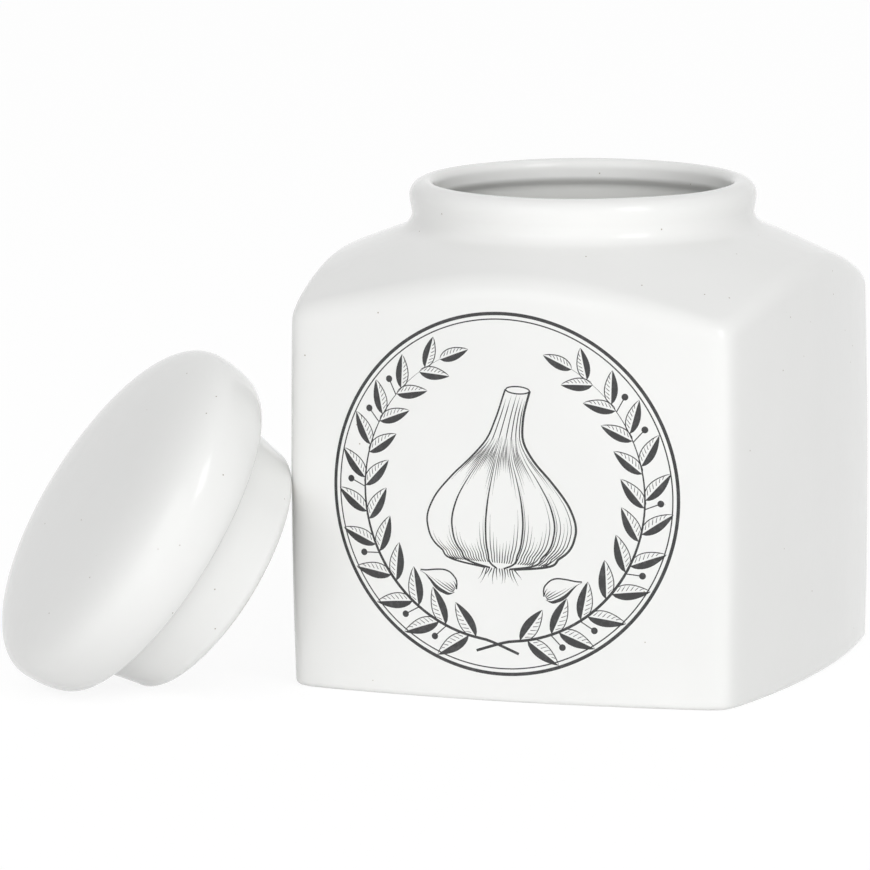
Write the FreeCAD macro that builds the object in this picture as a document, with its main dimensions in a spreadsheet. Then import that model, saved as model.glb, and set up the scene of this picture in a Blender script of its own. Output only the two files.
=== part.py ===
"""Square porcelain garlic keeper: a hollow jar with a round neck, and its lid leaning beside it.

Millimetres and degrees. Z is up, the jar stands on z = 0, its axis is the Z axis and its
printed front faces -Y. The lid's own axis is its local Z, with the seat that rests on the rim at 0.
"""
import FreeCAD, Part
import math
import os
import re
import Sketcher
from FreeCAD import Placement, Rotation, Vector

SIZES = [
    # jar, outside
    ("body_half_width", 60.0, "half of the body's width across the middle of two opposite sides"),
    ("side_bow_radius", 277.0, "plan radius of the four gently bowed sides"),
    ("corner_round", 5.0, "radius of the four upright corners"),
    ("rim_height", 117.6, "height of the rim above the table"),
    ("rim_thickness", 5.9, "thickness of the rim, from the mouth to its outside"),
    ("rim_round", 4.0, "outer rounding of the rim"),
    ("neck_height", 11.16, "height of the neck, from where the shoulder line meets it up to the rim"),
    ("neck_lean", 10.0, "inward lean of the neck's wall below the rim, degrees"),
    ("neck_fillet", 5.5, "hollow fillet between the neck and the shoulder"),
    ("shoulder_slope", 21.2, "fall of the shoulder line where it would meet the neck, degrees"),
    ("shoulder_radius", 250.0, "meridian radius of the shoulder"),
    ("shoulder_edge_round", 4.5, "rounding of the edge between the shoulder and the sides"),
    ("foot_round", 1.8, "rounding of the edge that stands on the table"),
    # jar, inside
    ("mouth_radius", 35.6, "radius of the mouth"),
    ("lip_round", 1.6, "inner rounding of the rim"),
    ("lip_depth", 5.2, "depth of the mouth's narrow band below the rim"),
    ("throat_step", 1.4, "how far the throat lies outside the mouth"),
    ("throat_flare", 8.0, "radius of the flare from the throat to the chamber's ceiling"),
    ("wall", 5.0, "thickness of the walls and the shoulder"),
    ("floor_thickness", 6.0, "thickness of the jar's floor above the table"),
    ("inner_corner_round", 8.0, "radius of the chamber's upright corners"),
    ("inner_edge_round", 5.0, "rounding of the chamber's ceiling edge"),
    ("inner_floor_round", 6.0, "rounding of the chamber's floor edge"),
    # lid
    ("cap_overhang", 2.8, "how far the cap reaches past the rim"),
    ("cap_height", 21.4, "height of the cap's crown above its seat"),
    ("cap_widest", 9.6, "height of the cap's widest ring above its seat"),
    ("crown_radius", 250.0, "radius of the crown"),
    ("cap_side_radius", 16.2, "radius of the cap's side below its widest ring"),
    ("cap_lower_round", 1.2, "rounding of the cap's lower edge"),
    ("plug_clearance", 1.4, "gap between the plug and the mouth, all round"),
    ("plug_depth", 16.6, "how far the plug reaches into the jar"),
    ("plug_taper", 2.0, "how much the plug's radius shrinks on the way down"),
    ("plug_cove", 2.2, "fillet between the plug and the seat"),
    ("plug_edge_round", 2.4, "outer rounding of the plug's lower edge"),
    ("plug_wall", 4.5, "thickness of the plug's wall"),
    ("plug_inner_round", 1.2, "inner rounding of the plug's lower edge"),
    ("crown_thickness", 6.0, "thickness of the cap above the recess"),
    ("recess_draft", 1.5, "how much the recess narrows on its way up"),
    ("recess_round", 8.0, "rounding at the top of the recess"),
    # where the lid leans
    ("lid_tilt", 56.9, "angle between the lid's axis and the vertical, degrees"),
    ("lid_heading", -140.6, "compass heading of the lid's crown, degrees from +X"),
    ("lid_forward", 2.0, "how far the lid's seat centre stands in front of the jar's front"),
    ("lean_clearance", 0.3, "gap between the leaning lid and the jar"),
]

SHEET = "sizes"
REACH = "body_half_width * sqrt(2)"               # past the farthest corner of the bowed square
ABOVE = "rim_height + floor_thickness + wall"     # clear above both pads
RIM = "mouth_radius + rim_thickness"
THROAT = "mouth_radius + throat_step"
SHOULDER_TOP = "rim_height - neck_height"         # where the shoulder line would meet the neck
CAP = RIM + " + cap_overhang"
PLUG = "mouth_radius - plug_clearance"
PLUG_FOOT = PLUG + " - plug_taper"
RECESS_FOOT = PLUG_FOOT + " - plug_wall"
RECESS_TOP = RECESS_FOOT + " - recess_draft"
RECESS_CEILING = "cap_height - crown_thickness"
ORIGIN = -1                      # the sketch's own origin, as constraints number it
START, END, CENTRE = 1, 2, 3     # the points of a line or an arc, as constraints number them
NEAR = 0.05                      # how near two lengths are taken as one
LEANING_STEPS = 6                # steps that settle where a leaning wall meets its fillet
PLACING_STEPS = 12               # steps that bring the lid to the jar
PLACING_ERROR = 0.005            # how near the lid is brought to its clearance


def size(name):
    """The value of a cell of the sheet."""
    return float(sheet.get(name))


def cell(name):
    """The expression that reads a cell of the sheet."""
    return SHEET + "." + name


def cells(expression):
    """An expression in which every size's name reads its cell."""
    known = {name for name, _, _ in SIZES}
    return re.sub("[a-z_]+", lambda word: cell(word[0]) if word[0] in known else word[0], expression)


def value(expression):
    """What an expression of the sizes comes to."""
    return float(sheet.evalExpression(cells(expression)))


def make_sheet():
    """The spreadsheet of driving sizes."""
    table = doc.addObject("Spreadsheet::Sheet", SHEET)
    table.Label = SHEET
    for row, (name, value, meaning) in enumerate(SIZES, start=1):
        table.set("A%d" % row, name)
        table.set("B%d" % row, str(value))
        table.set("C%d" % row, meaning)
        table.setAlias("B%d" % row, name)
    doc.recompute()
    return table


class Outline:
    """A sketch on one of a body's origin planes, with its sizes bound to the sheet."""

    def __init__(self, body, name, plane):
        self.sketch = body.newObject("Sketcher::SketchObject", name)
        origin = next(f for f in body.Origin.OriginFeatures if f.Role == plane)
        self.sketch.AttachmentSupport = [(origin, "")]
        self.sketch.MapMode = "FlatFace"

    def line(self, start, end):
        return self.sketch.addGeometry(Part.LineSegment(Vector(*start, 0), Vector(*end, 0)), False)

    def arc(self, centre, radius, first, last):
        """An arc that runs counter-clockwise between two angles in degrees."""
        circle = Part.Circle(Vector(*centre, 0), Vector(0, 0, 1), radius)
        span = (math.radians(first), math.radians(last))
        return self.sketch.addGeometry(Part.ArcOfCircle(circle, *span), False)

    def tie(self, kind, *where):
        self.sketch.addConstraint(Sketcher.Constraint(kind, *where))

    def drive(self, kind, *where_and_expression):
        """A dimension that follows an expression of the sheet's sizes."""
        where, expression = where_and_expression[:-1], where_and_expression[-1]
        start = math.radians(value(expression)) if kind == "Angle" else value(expression)
        index = self.sketch.addConstraint(Sketcher.Constraint(kind, *where, start))
        self.sketch.setExpression("Constraints[%d]" % index, cells(expression))

    def at(self, item, point, x=None, y=None):
        """Holds a point at distances from the sketch's origin."""
        if x is not None:
            self.drive("DistanceX", ORIGIN, START, item, point, x)
        if y is not None:
            self.drive("DistanceY", ORIGIN, START, item, point, y)


def plan_sketch(body, name, inset):
    """A square with four outward-bowed sides, inset from the body's outside."""
    outline = Outline(body, name, "XY_Plane")
    radius = size("side_bow_radius") - value(inset)
    reach = size("side_bow_radius") - size("body_half_width")
    # the corner lies on the diagonal, at one distance from both neighbouring centres
    corner = (-reach + math.sqrt(2 * radius ** 2 - reach ** 2)) / 2
    half_angle = math.degrees(math.asin(corner / radius))
    directions = (0, 90, 180, 270)
    arcs = []
    for heading in directions:
        middle = math.radians(heading)
        centre = (-reach * math.cos(middle), -reach * math.sin(middle))
        arcs.append(outline.arc(centre, radius, heading - half_angle, heading + half_angle))
    for side, following in zip(arcs, arcs[1:] + arcs[:1]):
        outline.tie("Coincident", side, END, following, START)
        outline.drive("Radius", side, "side_bow_radius - (" + inset + ")")
    away = "side_bow_radius - body_half_width"
    outline.at(arcs[0], CENTRE, "-1 * (" + away + ")", "0")
    outline.at(arcs[1], CENTRE, "0", "-1 * (" + away + ")")
    outline.at(arcs[2], CENTRE, away, "0")
    outline.at(arcs[3], CENTRE, "0", away)
    return outline.sketch


def shoulder_centre():
    """Centre of the shoulder's meridian arc, and the expressions that give it."""
    slope = math.radians(size("shoulder_slope"))
    x = value(RIM) - size("shoulder_radius") * math.sin(slope)
    y = value(SHOULDER_TOP) - size("shoulder_radius") * math.cos(slope)
    x_text = RIM + " - shoulder_radius * sin(shoulder_slope)"
    y_text = SHOULDER_TOP + " - shoulder_radius * cos(shoulder_slope)"
    return (x, y), (x_text, y_text)


def fall_arcs(outline, wall_top, lean, fillet, radius):
    """The fillet at the foot of a wall and the shoulder arc that runs out from it.

    The wall runs down from a top point and leans inward by an angle in radians. Returns both arcs
    and the wall's foot.
    """
    (centre_x, centre_y), _ = shoulder_centre()
    top_x, top_y = wall_top
    foot_y = centre_y + radius
    for _ in range(LEANING_STEPS):
        foot_x = top_x - (top_y - foot_y) * math.tan(lean)
        fillet_x = foot_x + fillet * math.cos(lean)
        fillet_y = centre_y + math.sqrt((radius + fillet) ** 2 - (fillet_x - centre_x) ** 2)
        foot_y = fillet_y + fillet * math.sin(lean)
    touch = math.degrees(math.atan2(fillet_y - centre_y, fillet_x - centre_x))
    outer = math.degrees(math.acos((value(REACH) - centre_x) / radius))
    hollow = outline.arc((fillet_x, fillet_y), fillet, 180 - math.degrees(lean), 180 + touch)
    fall = outline.arc((centre_x, centre_y), radius, outer, touch)
    return hollow, fall, (foot_x, foot_y)


def outside_sketch(body):
    """All that lies outside the rim, the neck and the shoulder, for one turn about the axis."""
    outline = Outline(body, "outside_profile", "XZ_Plane")
    top = size("rim_height")
    rim, bend = value(RIM), size("rim_round")
    lean = math.radians(size("neck_lean"))
    reach = value(REACH)
    above = value(ABOVE)
    (centre_x, centre_y), (centre_x_text, centre_y_text) = shoulder_centre()
    radius = size("shoulder_radius")
    low = centre_y + math.sqrt(radius ** 2 - (reach - centre_x) ** 2)

    roll = outline.arc((rim - bend, top - bend), bend, 0, 90)
    neck_top = (rim, top - bend)
    hollow, fall, neck_foot = fall_arcs(outline, neck_top, lean, size("neck_fillet"), radius)
    taper = outline.line(neck_top, neck_foot)
    outer = outline.line((reach, low), (reach, above))
    over = outline.line((reach, above), (rim - bend, above))
    inner = outline.line((rim - bend, above), (rim - bend, top))

    outline.tie("Coincident", roll, START, taper, START)
    outline.tie("Tangent", taper, END, hollow, START)
    outline.tie("Tangent", hollow, END, fall, END)
    outline.tie("Coincident", fall, START, outer, START)
    outline.tie("Coincident", outer, END, over, START)
    outline.tie("Coincident", over, END, inner, START)
    outline.tie("Coincident", inner, END, roll, END)
    outline.tie("Vertical", outer)
    outline.tie("Horizontal", over)
    outline.tie("Vertical", inner)
    outline.at(roll, CENTRE, RIM + " - rim_round", "rim_height - rim_round")
    outline.drive("Radius", roll, "rim_round")
    outline.at(roll, START, y="rim_height - rim_round")
    outline.at(roll, END, x=RIM + " - rim_round")
    outline.drive("Angle", taper, "-90 - neck_lean")
    outline.drive("Radius", hollow, "neck_fillet")
    outline.drive("Radius", fall, "shoulder_radius")
    outline.at(fall, CENTRE, centre_x_text, centre_y_text)
    outline.at(fall, START, x=REACH)
    outline.at(outer, END, y=ABOVE)
    return outline.sketch


def inside_sketch(body):
    """All that lies outside the mouth, the throat and the chamber's ceiling, for one turn."""
    outline = Outline(body, "inside_profile", "XZ_Plane")
    top = size("rim_height")
    mouth, bend = size("mouth_radius"), size("lip_round")
    band = top - size("lip_depth")
    throat = value(THROAT)
    step = throat - mouth
    reach = value(REACH)
    above = value(ABOVE)
    (centre_x, centre_y), (centre_x_text, centre_y_text) = shoulder_centre()
    radius = size("shoulder_radius") - size("wall")
    low = centre_y + math.sqrt(radius ** 2 - (reach - centre_x) ** 2)

    inner = outline.line((mouth + bend, above), (mouth + bend, top))
    lip = outline.arc((mouth + bend, top - bend), bend, 90, 180)
    land = outline.line((mouth, top - bend), (mouth, band))
    ramp = outline.line((mouth, band), (throat, band - step))
    throat_top = (throat, band - step)
    flare, fall, throat_foot = fall_arcs(outline, throat_top, 0, size("throat_flare"), radius)
    throat_wall = outline.line(throat_top, throat_foot)
    outer = outline.line((reach, low), (reach, above))
    over = outline.line((reach, above), (mouth + bend, above))

    outline.tie("Coincident", inner, END, lip, START)
    outline.tie("Coincident", lip, END, land, START)
    outline.tie("Coincident", land, END, ramp, START)
    outline.tie("Coincident", ramp, END, throat_wall, START)
    outline.tie("Tangent", throat_wall, END, flare, START)
    outline.tie("Tangent", flare, END, fall, END)
    outline.tie("Coincident", fall, START, outer, START)
    outline.tie("Coincident", outer, END, over, START)
    outline.tie("Coincident", over, END, inner, START)
    outline.tie("Vertical", inner)
    outline.tie("Vertical", land)
    outline.tie("Vertical", throat_wall)
    outline.tie("Vertical", outer)
    outline.tie("Horizontal", over)
    outline.at(lip, CENTRE, "mouth_radius + lip_round", "rim_height - lip_round")
    outline.drive("Radius", lip, "lip_round")
    outline.at(lip, START, x="mouth_radius + lip_round")
    outline.at(lip, END, y="rim_height - lip_round")
    outline.at(land, END, y="rim_height - lip_depth")
    outline.at(ramp, END, THROAT, "rim_height - lip_depth - throat_step")
    outline.drive("Radius", flare, "throat_flare")
    outline.drive("Radius", fall, "shoulder_radius - wall")
    outline.at(fall, CENTRE, centre_x_text, centre_y_text)
    outline.at(fall, START, x=REACH)
    outline.at(outer, END, y=ABOVE)
    return outline.sketch


def add_pad(body, name, sketch, length):
    pad = body.newObject("PartDesign::Pad", name)
    pad.Profile = sketch
    pad.setExpression("Length", cells(length))
    doc.recompute()
    return pad


def add_groove(body, name, sketch):
    """Turns a profile once about the Z axis and takes it away."""
    before = body.Tip.Shape.Volume
    groove = body.newObject("PartDesign::Groove", name)
    groove.Profile = sketch
    groove.ReferenceAxis = (sketch, ["V_Axis"])
    groove.Angle = 360
    doc.recompute()
    if groove.Shape.isNull() or groove.Shape.Volume >= before:
        raise RuntimeError(name + " takes nothing away")
    return groove


def add_fillet(body, name, chosen, radius):
    """Rounds the edges of the body's tip that the chosen test accepts."""
    doc.recompute()
    base = body.Tip
    edges = ["Edge%d" % number for number, edge in enumerate(base.Shape.Edges, start=1) if chosen(edge)]
    if not edges:
        raise RuntimeError(name + " finds no edge")
    fillet = body.newObject("PartDesign::Fillet", name)
    fillet.Base = (base, edges)
    fillet.setExpression("Radius", cell(radius))
    doc.recompute()
    return fillet


def samples(edge):
    """The ends and the middle of an edge."""
    first, last = edge.ParameterRange
    return [edge.valueAt(first + share * (last - first)) for share in (0, 0.5, 1)]


def is_upright(edge):
    start, middle, end = samples(edge)
    return all(abs(point.x - start.x) < NEAR and abs(point.y - start.y) < NEAR for point in (middle, end))


def lies_at(height):
    """A test for the edges that lie flat at a height."""
    return lambda edge: all(abs(point.z - height) < NEAR for point in samples(edge))


def is_shoulder_edge(edge):
    """True for the edges between the shoulder's fall and the upright sides."""
    outside_neck = value(RIM) + size("neck_fillet")
    far = all(math.hypot(point.x, point.y) > outside_neck for point in samples(edge))
    high = all(point.z > size("rim_height") / 2 for point in samples(edge))
    return far and high and not is_upright(edge)


def make_jar_outside():
    """The jar's outer form, solid."""
    body = doc.addObject("PartDesign::Body", "jar_outside")
    plan = plan_sketch(body, "outside_plan", "0")
    add_pad(body, "sides", plan, "rim_height")
    add_fillet(body, "corners", is_upright, "corner_round")
    add_groove(body, "neck_and_shoulder", outside_sketch(body))
    add_fillet(body, "shoulder_edge", is_shoulder_edge, "shoulder_edge_round")
    add_fillet(body, "foot_edge", lies_at(0), "foot_round")
    return body


def make_jar_inside():
    """The space inside the jar, solid, from its floor to above the rim."""
    body = doc.addObject("PartDesign::Body", "jar_inside")
    plan = plan_sketch(body, "inside_plan", "wall")
    plan.setExpression("AttachmentOffset.Base.z", cell("floor_thickness"))
    add_pad(body, "chamber", plan, "rim_height")
    add_fillet(body, "chamber_corners", is_upright, "inner_corner_round")
    add_groove(body, "mouth_and_ceiling", inside_sketch(body))
    add_fillet(body, "ceiling_edge", is_shoulder_edge, "inner_edge_round")
    add_fillet(body, "floor_edge", lies_at(size("floor_thickness")), "inner_floor_round")
    return body


def make_jar():
    """The hollow jar: its outside less the space inside."""
    jar = doc.addObject("Part::Cut", "jar")
    jar.Label = "jar"
    jar.Base = make_jar_outside()
    jar.Tool = make_jar_inside()
    doc.recompute()
    return jar


def lid_rings():
    """Radii of the lid's sharp rings: seat edge, plug, plug foot, recess foot and recess top."""
    side, widest = size("cap_side_radius"), size("cap_widest")
    seat_edge = value(CAP) - side + math.sqrt(side ** 2 - widest ** 2)
    return seat_edge, value(PLUG), value(PLUG_FOOT), value(RECESS_FOOT), value(RECESS_TOP)


def lid_sketch(body):
    """Half of the lid's section: crown, cap, seat, plug and the recess underneath."""
    outline = Outline(body, "lid_profile", "XZ_Plane")
    seat_edge, plug, plug_low, recess_low, recess_high = lid_rings()
    cap = value(CAP)
    widest, crown = size("cap_widest"), size("cap_height")
    dome, side = size("crown_radius"), size("cap_side_radius")
    depth = size("plug_depth")
    ceiling = value(RECESS_CEILING)
    # the shoulder of the cap is tangent to the crown and upright at the widest ring
    drop = widest + dome - crown
    bend = (dome ** 2 - drop ** 2 - cap ** 2) / (2 * (dome - cap))
    touch = math.degrees(math.atan2(drop, cap - bend))
    seat_angle = math.degrees(math.asin(widest / side))

    dome_arc = outline.arc((0, crown - dome), dome, touch, 90)
    bend_arc = outline.arc((cap - bend, widest), bend, 0, touch)
    side_arc = outline.arc((cap - side, widest), side, -seat_angle, 0)
    seat = outline.line((seat_edge, 0), (plug, 0))
    plug_side = outline.line((plug, 0), (plug_low, -depth))
    plug_foot = outline.line((plug_low, -depth), (recess_low, -depth))
    recess_side = outline.line((recess_low, -depth), (recess_high, ceiling))
    recess_top = outline.line((recess_high, ceiling), (0, ceiling))
    axis = outline.line((0, ceiling), (0, crown))

    outline.tie("Tangent", dome_arc, START, bend_arc, END)
    outline.tie("Coincident", bend_arc, START, side_arc, END)
    chain = [side_arc, seat, plug_side, plug_foot, recess_side, recess_top, axis]
    outline.tie("Coincident", side_arc, START, seat, START)
    for item, following in zip(chain[1:], chain[2:]):
        outline.tie("Coincident", item, END, following, START)
    outline.tie("Coincident", axis, END, dome_arc, END)
    outline.tie("Horizontal", plug_foot)
    outline.tie("Horizontal", recess_top)
    outline.at(dome_arc, CENTRE, "0", "cap_height - crown_radius")
    outline.drive("Radius", dome_arc, "crown_radius")
    outline.at(dome_arc, END, x="0")
    outline.at(bend_arc, CENTRE, y="cap_widest")
    outline.at(bend_arc, START, CAP, "cap_widest")
    outline.at(side_arc, CENTRE, y="cap_widest")
    outline.drive("Radius", side_arc, "cap_side_radius")
    outline.at(seat, START, y="0")
    outline.at(seat, END, PLUG, "0")
    outline.at(plug_side, END, PLUG_FOOT, "-1 * plug_depth")
    outline.at(plug_foot, END, x=RECESS_FOOT)
    outline.at(recess_side, END, RECESS_TOP, RECESS_CEILING)
    outline.at(recess_top, END, x="0")
    return outline.sketch


def ring_at(radius, height):
    """A test for the circles of a radius at a height about the lid's axis."""
    def chosen(edge):
        return all(abs(math.hypot(point.x, point.y) - radius) < NEAR and abs(point.z - height) < NEAR
                   for point in samples(edge))
    return chosen


def make_lid():
    """The lid, about its own axis."""
    body = doc.addObject("PartDesign::Body", "lid")
    body.Label = "lid"
    profile = lid_sketch(body)
    turned = body.newObject("PartDesign::Revolution", "turned_lid")
    turned.Profile = profile
    turned.ReferenceAxis = (profile, ["V_Axis"])
    turned.Angle = 360
    seat_edge, plug, plug_low, recess_low, recess_high = lid_rings()
    foot = -size("plug_depth")
    add_fillet(body, "cap_lower_edge", ring_at(seat_edge, 0), "cap_lower_round")
    add_fillet(body, "cove", ring_at(plug, 0), "plug_cove")
    add_fillet(body, "plug_outer_edge", ring_at(plug_low, foot), "plug_edge_round")
    add_fillet(body, "plug_inner_edge", ring_at(recess_low, foot), "plug_inner_round")
    add_fillet(body, "recess_edge", ring_at(recess_high, value(RECESS_CEILING)), "recess_round")
    return body


def lean_lid(lid, jar):
    """Stands the tilted lid on the table and moves it up to the jar's near corner."""
    heading, tilt = math.radians(size("lid_heading")), math.radians(size("lid_tilt"))
    crown_way = Vector(math.sin(tilt) * math.cos(heading), math.sin(tilt) * math.sin(heading), math.cos(tilt))
    turn = Rotation(Vector(0, 0, 1), crown_way)
    half = size("body_half_width")
    start = Vector(-2 * half, -half - size("lid_forward"), 0)
    lid.Placement = Placement(start, turn)
    doc.recompute()
    start.z = -lid.Shape.optimalBoundingBox().ZMin
    for _ in range(PLACING_STEPS):
        lid.Placement = Placement(start, turn)
        gap = lid.Shape.distToShape(jar.Shape)[0]
        if abs(gap - size("lean_clearance")) < PLACING_ERROR:
            break
        start.x += gap - size("lean_clearance")
    doc.recompute()


def check_document(pieces):
    """Stops with a plain message if anything in the document failed."""
    for item in doc.Objects:
        if "Invalid" in item.State or "Error" in item.State:
            raise RuntimeError("%s failed: %s" % (item.Name, item.State))
    for piece in pieces:
        shape = piece.Shape
        if shape.isNull() or not shape.isValid() or len(shape.Solids) != 1:
            raise RuntimeError(piece.Label + " is not one valid solid")


doc = FreeCAD.newDocument("garlic_keeper")
sheet = make_sheet()
jar = make_jar()
lid = make_lid()
lean_lid(lid, jar)
check_document([jar, lid])

os.makedirs("parts", exist_ok=True)
for piece in (jar, lid):
    piece.Shape.exportStep(os.path.join("parts", piece.Label + ".step"))
    box = piece.Shape.optimalBoundingBox()
    print("%s: volume %.1f cm3, x %.2f..%.2f y %.2f..%.2f z %.2f..%.2f" % (
        piece.Label, piece.Shape.Volume / 1000, box.XMin, box.XMax, box.YMin, box.YMax, box.ZMin, box.ZMax))
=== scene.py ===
"""Looks of the square porcelain garlic keeper: glaze, fired print, studio and camera.

Lengths are in millimetres until a mesh is made; Blender's own are metres. Z is up, the jar
stands on z = 0, its axis is the Z axis and its printed front faces -Y.
"""
import math
import bpy
import numpy as np
from mathutils import Matrix, Vector


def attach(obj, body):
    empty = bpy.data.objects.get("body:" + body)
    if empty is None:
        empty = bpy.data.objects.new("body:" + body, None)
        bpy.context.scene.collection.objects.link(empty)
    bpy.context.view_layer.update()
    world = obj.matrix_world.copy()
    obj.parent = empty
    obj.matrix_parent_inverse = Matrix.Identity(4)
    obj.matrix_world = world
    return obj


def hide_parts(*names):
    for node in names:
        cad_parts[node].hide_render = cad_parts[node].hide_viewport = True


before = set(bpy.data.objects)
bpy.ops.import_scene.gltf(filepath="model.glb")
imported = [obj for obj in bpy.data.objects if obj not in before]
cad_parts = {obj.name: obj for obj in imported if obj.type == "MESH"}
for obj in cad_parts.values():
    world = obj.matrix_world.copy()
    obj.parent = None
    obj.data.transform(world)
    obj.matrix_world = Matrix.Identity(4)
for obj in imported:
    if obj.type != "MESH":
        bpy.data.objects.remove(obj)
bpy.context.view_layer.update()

MM = 0.001

# ---------------------------------------------------------------- camera

PHOTO_WIDTH = 870               # pixels
FOCAL_PIXELS = 7243.3
SENSOR = 36.0
CLIP_NEAR, CLIP_FAR = 0.05, 50.0        # metres
CAMERA_TARGET = (0.0, 0.0, 60.0)
CAMERA_DISTANCE = 1738.3
CAMERA_AZIMUTH = 19.409         # degrees to the right of the front
CAMERA_ELEVATION = 8.194
CAMERA_YAW = -1.180             # the view's turn away from the target, degrees
CAMERA_PITCH = 0.1635
CAMERA_ROLL = 0.292


def make_camera():
    """The photographer's place and lens."""
    azimuth, elevation = math.radians(CAMERA_AZIMUTH), math.radians(CAMERA_ELEVATION)
    back = Vector((math.sin(azimuth) * math.cos(elevation), -math.cos(azimuth) * math.cos(elevation),
                   math.sin(elevation)))
    right = Vector((math.cos(azimuth), math.sin(azimuth), 0))
    aimed = Matrix((right, back.cross(right), back))
    turn = (Matrix.Rotation(math.radians(CAMERA_ROLL), 3, "Z")
            @ Matrix.Rotation(math.radians(CAMERA_PITCH), 3, "X")
            @ Matrix.Rotation(math.radians(CAMERA_YAW), 3, "Y"))
    data = bpy.data.cameras.new("photographer")
    data.sensor_width = SENSOR
    data.lens = FOCAL_PIXELS / PHOTO_WIDTH * SENSOR
    data.clip_start, data.clip_end = CLIP_NEAR, CLIP_FAR
    camera = bpy.data.objects.new("photographer", data)
    bpy.context.scene.collection.objects.link(camera)
    place = (Vector(CAMERA_TARGET) + back * CAMERA_DISTANCE) * MM
    camera.matrix_world = Matrix.Translation(place) @ (turn @ aimed).transposed().to_4x4()
    bpy.context.scene.camera = camera


make_camera()

# ---------------------------------------------------------------- the jar's form

HALF_WIDTH = 60.0
SIDE_BOW = 290.0
CORNER_SHARPNESS = 19.0         # exponent that rounds the upright corners
CORNER_REACH = 30.0             # how far inward the corners keep that rounding
CAMBER = 0.009                  # share by which the sides draw in at the foot and the shoulder
CAMBER_MIDDLE = 45.0
RIM_HEIGHT = 117.6
RIM_RADIUS = 41.5
RIM_ROUND = 3.7
RIM_SINK = 1.6                  # how much lower the rim is at its front right than opposite
RIM_SINK_WAY = (0.53, -0.85)    # that direction in plan
NECK_RADIUS = 40.8
NECK_JOIN = 2.9                 # radius of the hollow where the neck meets the shoulder
BEAD_BOTTOM = 108.4             # the rim's bead swells between these heights
BEAD_TOP = 114.2
DOME_RADIUS = 250.0
DOME_CENTRE = (-46.5, -127.8)   # centre of the shoulder's meridian arc, as (radius, height)
CORNER_DROP = 0.56              # how far the shoulder sinks at the corners and rises between them
SHOULDER_TILT = 0.4             # how far the shoulder's left is higher than its middle
SHOULDER_EDGE_ROUND = 5.3
FRONT_EDGE_ROUND = 8.0          # the shoulder's edge is softer along the front
FRONT_SAG = 1.0                 # and a little lower there, most at its left end
FRONT_FROM, FRONT_TO = 0.6, 0.95        # cosines of the turn from the front where that comes in
SAG_FROM, SAG_TO = 42.0, 60.0   # radii between which the tilt and the sag come in
DROP_FROM, DROP_TO = 43.0, 70.0         # and the corners' drop
FOOT_ROUND = 1.5
WALL = 5.0
FLOOR = 6.0
INNER_EDGE_ROUND = 5.0
INNER_FLOOR_ROUND = 6.0
MOUTH_RADIUS = 35.6
LIP_ROUND = 2.1
LIP_DEPTH = 5.2                 # height of the band under the lip, above the wider throat
THROAT_RADIUS = 37.4
THROAT_FLARE = 5.0              # radius where the throat widens into the chamber
INSIDE_BODY = 80.0              # neck and throat are cylinders that reach down to this height
WAVE_HEIGHT = 0.035             # slight unevenness left by casting and firing
WAVE_LENGTHS = (24.0, 60.0)
WAVES = 7
WAVES_FROM, WAVES_FULL = 2.0, 12.0      # heights where it comes in, as the base stays flat

chance = np.random.default_rng(5)


def round_meet(a, b, radius, cosine=0.0):
    """Distance to what two solids have in common, with the edge between them rounded.

    cosine is that of the angle between the normals of their two faces.
    """
    over_a, over_b = a + radius, b + radius
    in_round = (over_a > cosine * over_b) & (over_b > cosine * over_a)
    square = (over_a ** 2 + over_b ** 2 - 2 * cosine * over_a * over_b) / (1 - cosine ** 2)
    return np.where(in_round, np.sqrt(np.maximum(square, 0)) - radius, np.maximum(a, b))


def round_join(a, b, radius):
    """Distance to two solids together, with the hollow between them filled."""
    return (np.maximum(np.minimum(a, b), radius)
            - np.hypot(np.maximum(radius - a, 0), np.maximum(radius - b, 0)))


def smooth_step(value, low, high):
    share = np.clip((value - low) / (high - low), 0, 1)
    return share * share * (3 - 2 * share)


def plan_distance(x, y, inset):
    """Distance in plan to the square of bowed sides, inset from the jar's outside."""
    reach, bow = SIDE_BOW - HALF_WIDTH, SIDE_BOW - inset
    across = np.maximum(np.hypot(np.abs(x) + reach, y) - bow + CORNER_REACH, 0.01)
    along = np.maximum(np.hypot(x, np.abs(y) + reach) - bow + CORNER_REACH, 0.01)
    larger = np.maximum(across, along)
    share = np.minimum(across, along) / larger
    return larger * (1 + share ** CORNER_SHARPNESS) ** (1 / CORNER_SHARPNESS) - CORNER_REACH


def make_waves(count):
    """Directions, lengths and phases of the slight unevenness."""
    ways = chance.normal(size=(count, 3))
    ways /= np.linalg.norm(ways, axis=1)[:, None]
    lengths = chance.uniform(*WAVE_LENGTHS, size=count)
    return ways * (2 * math.pi / lengths)[:, None], chance.uniform(0, 2 * math.pi, size=count)


def unevenness(points, waves):
    ways, phases = waves
    return np.sin(points @ ways.T + phases).sum(axis=-1) * (WAVE_HEIGHT / math.sqrt(WAVES))


jar_waves = make_waves(WAVES)
lid_waves = make_waves(WAVES)


def sunk(x, y):
    """How far the neck has sunk in the kiln at a place."""
    return RIM_SINK / 2 * (1 + (RIM_SINK_WAY[0] * x + RIM_SINK_WAY[1] * y) / RIM_RADIUS)


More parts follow.
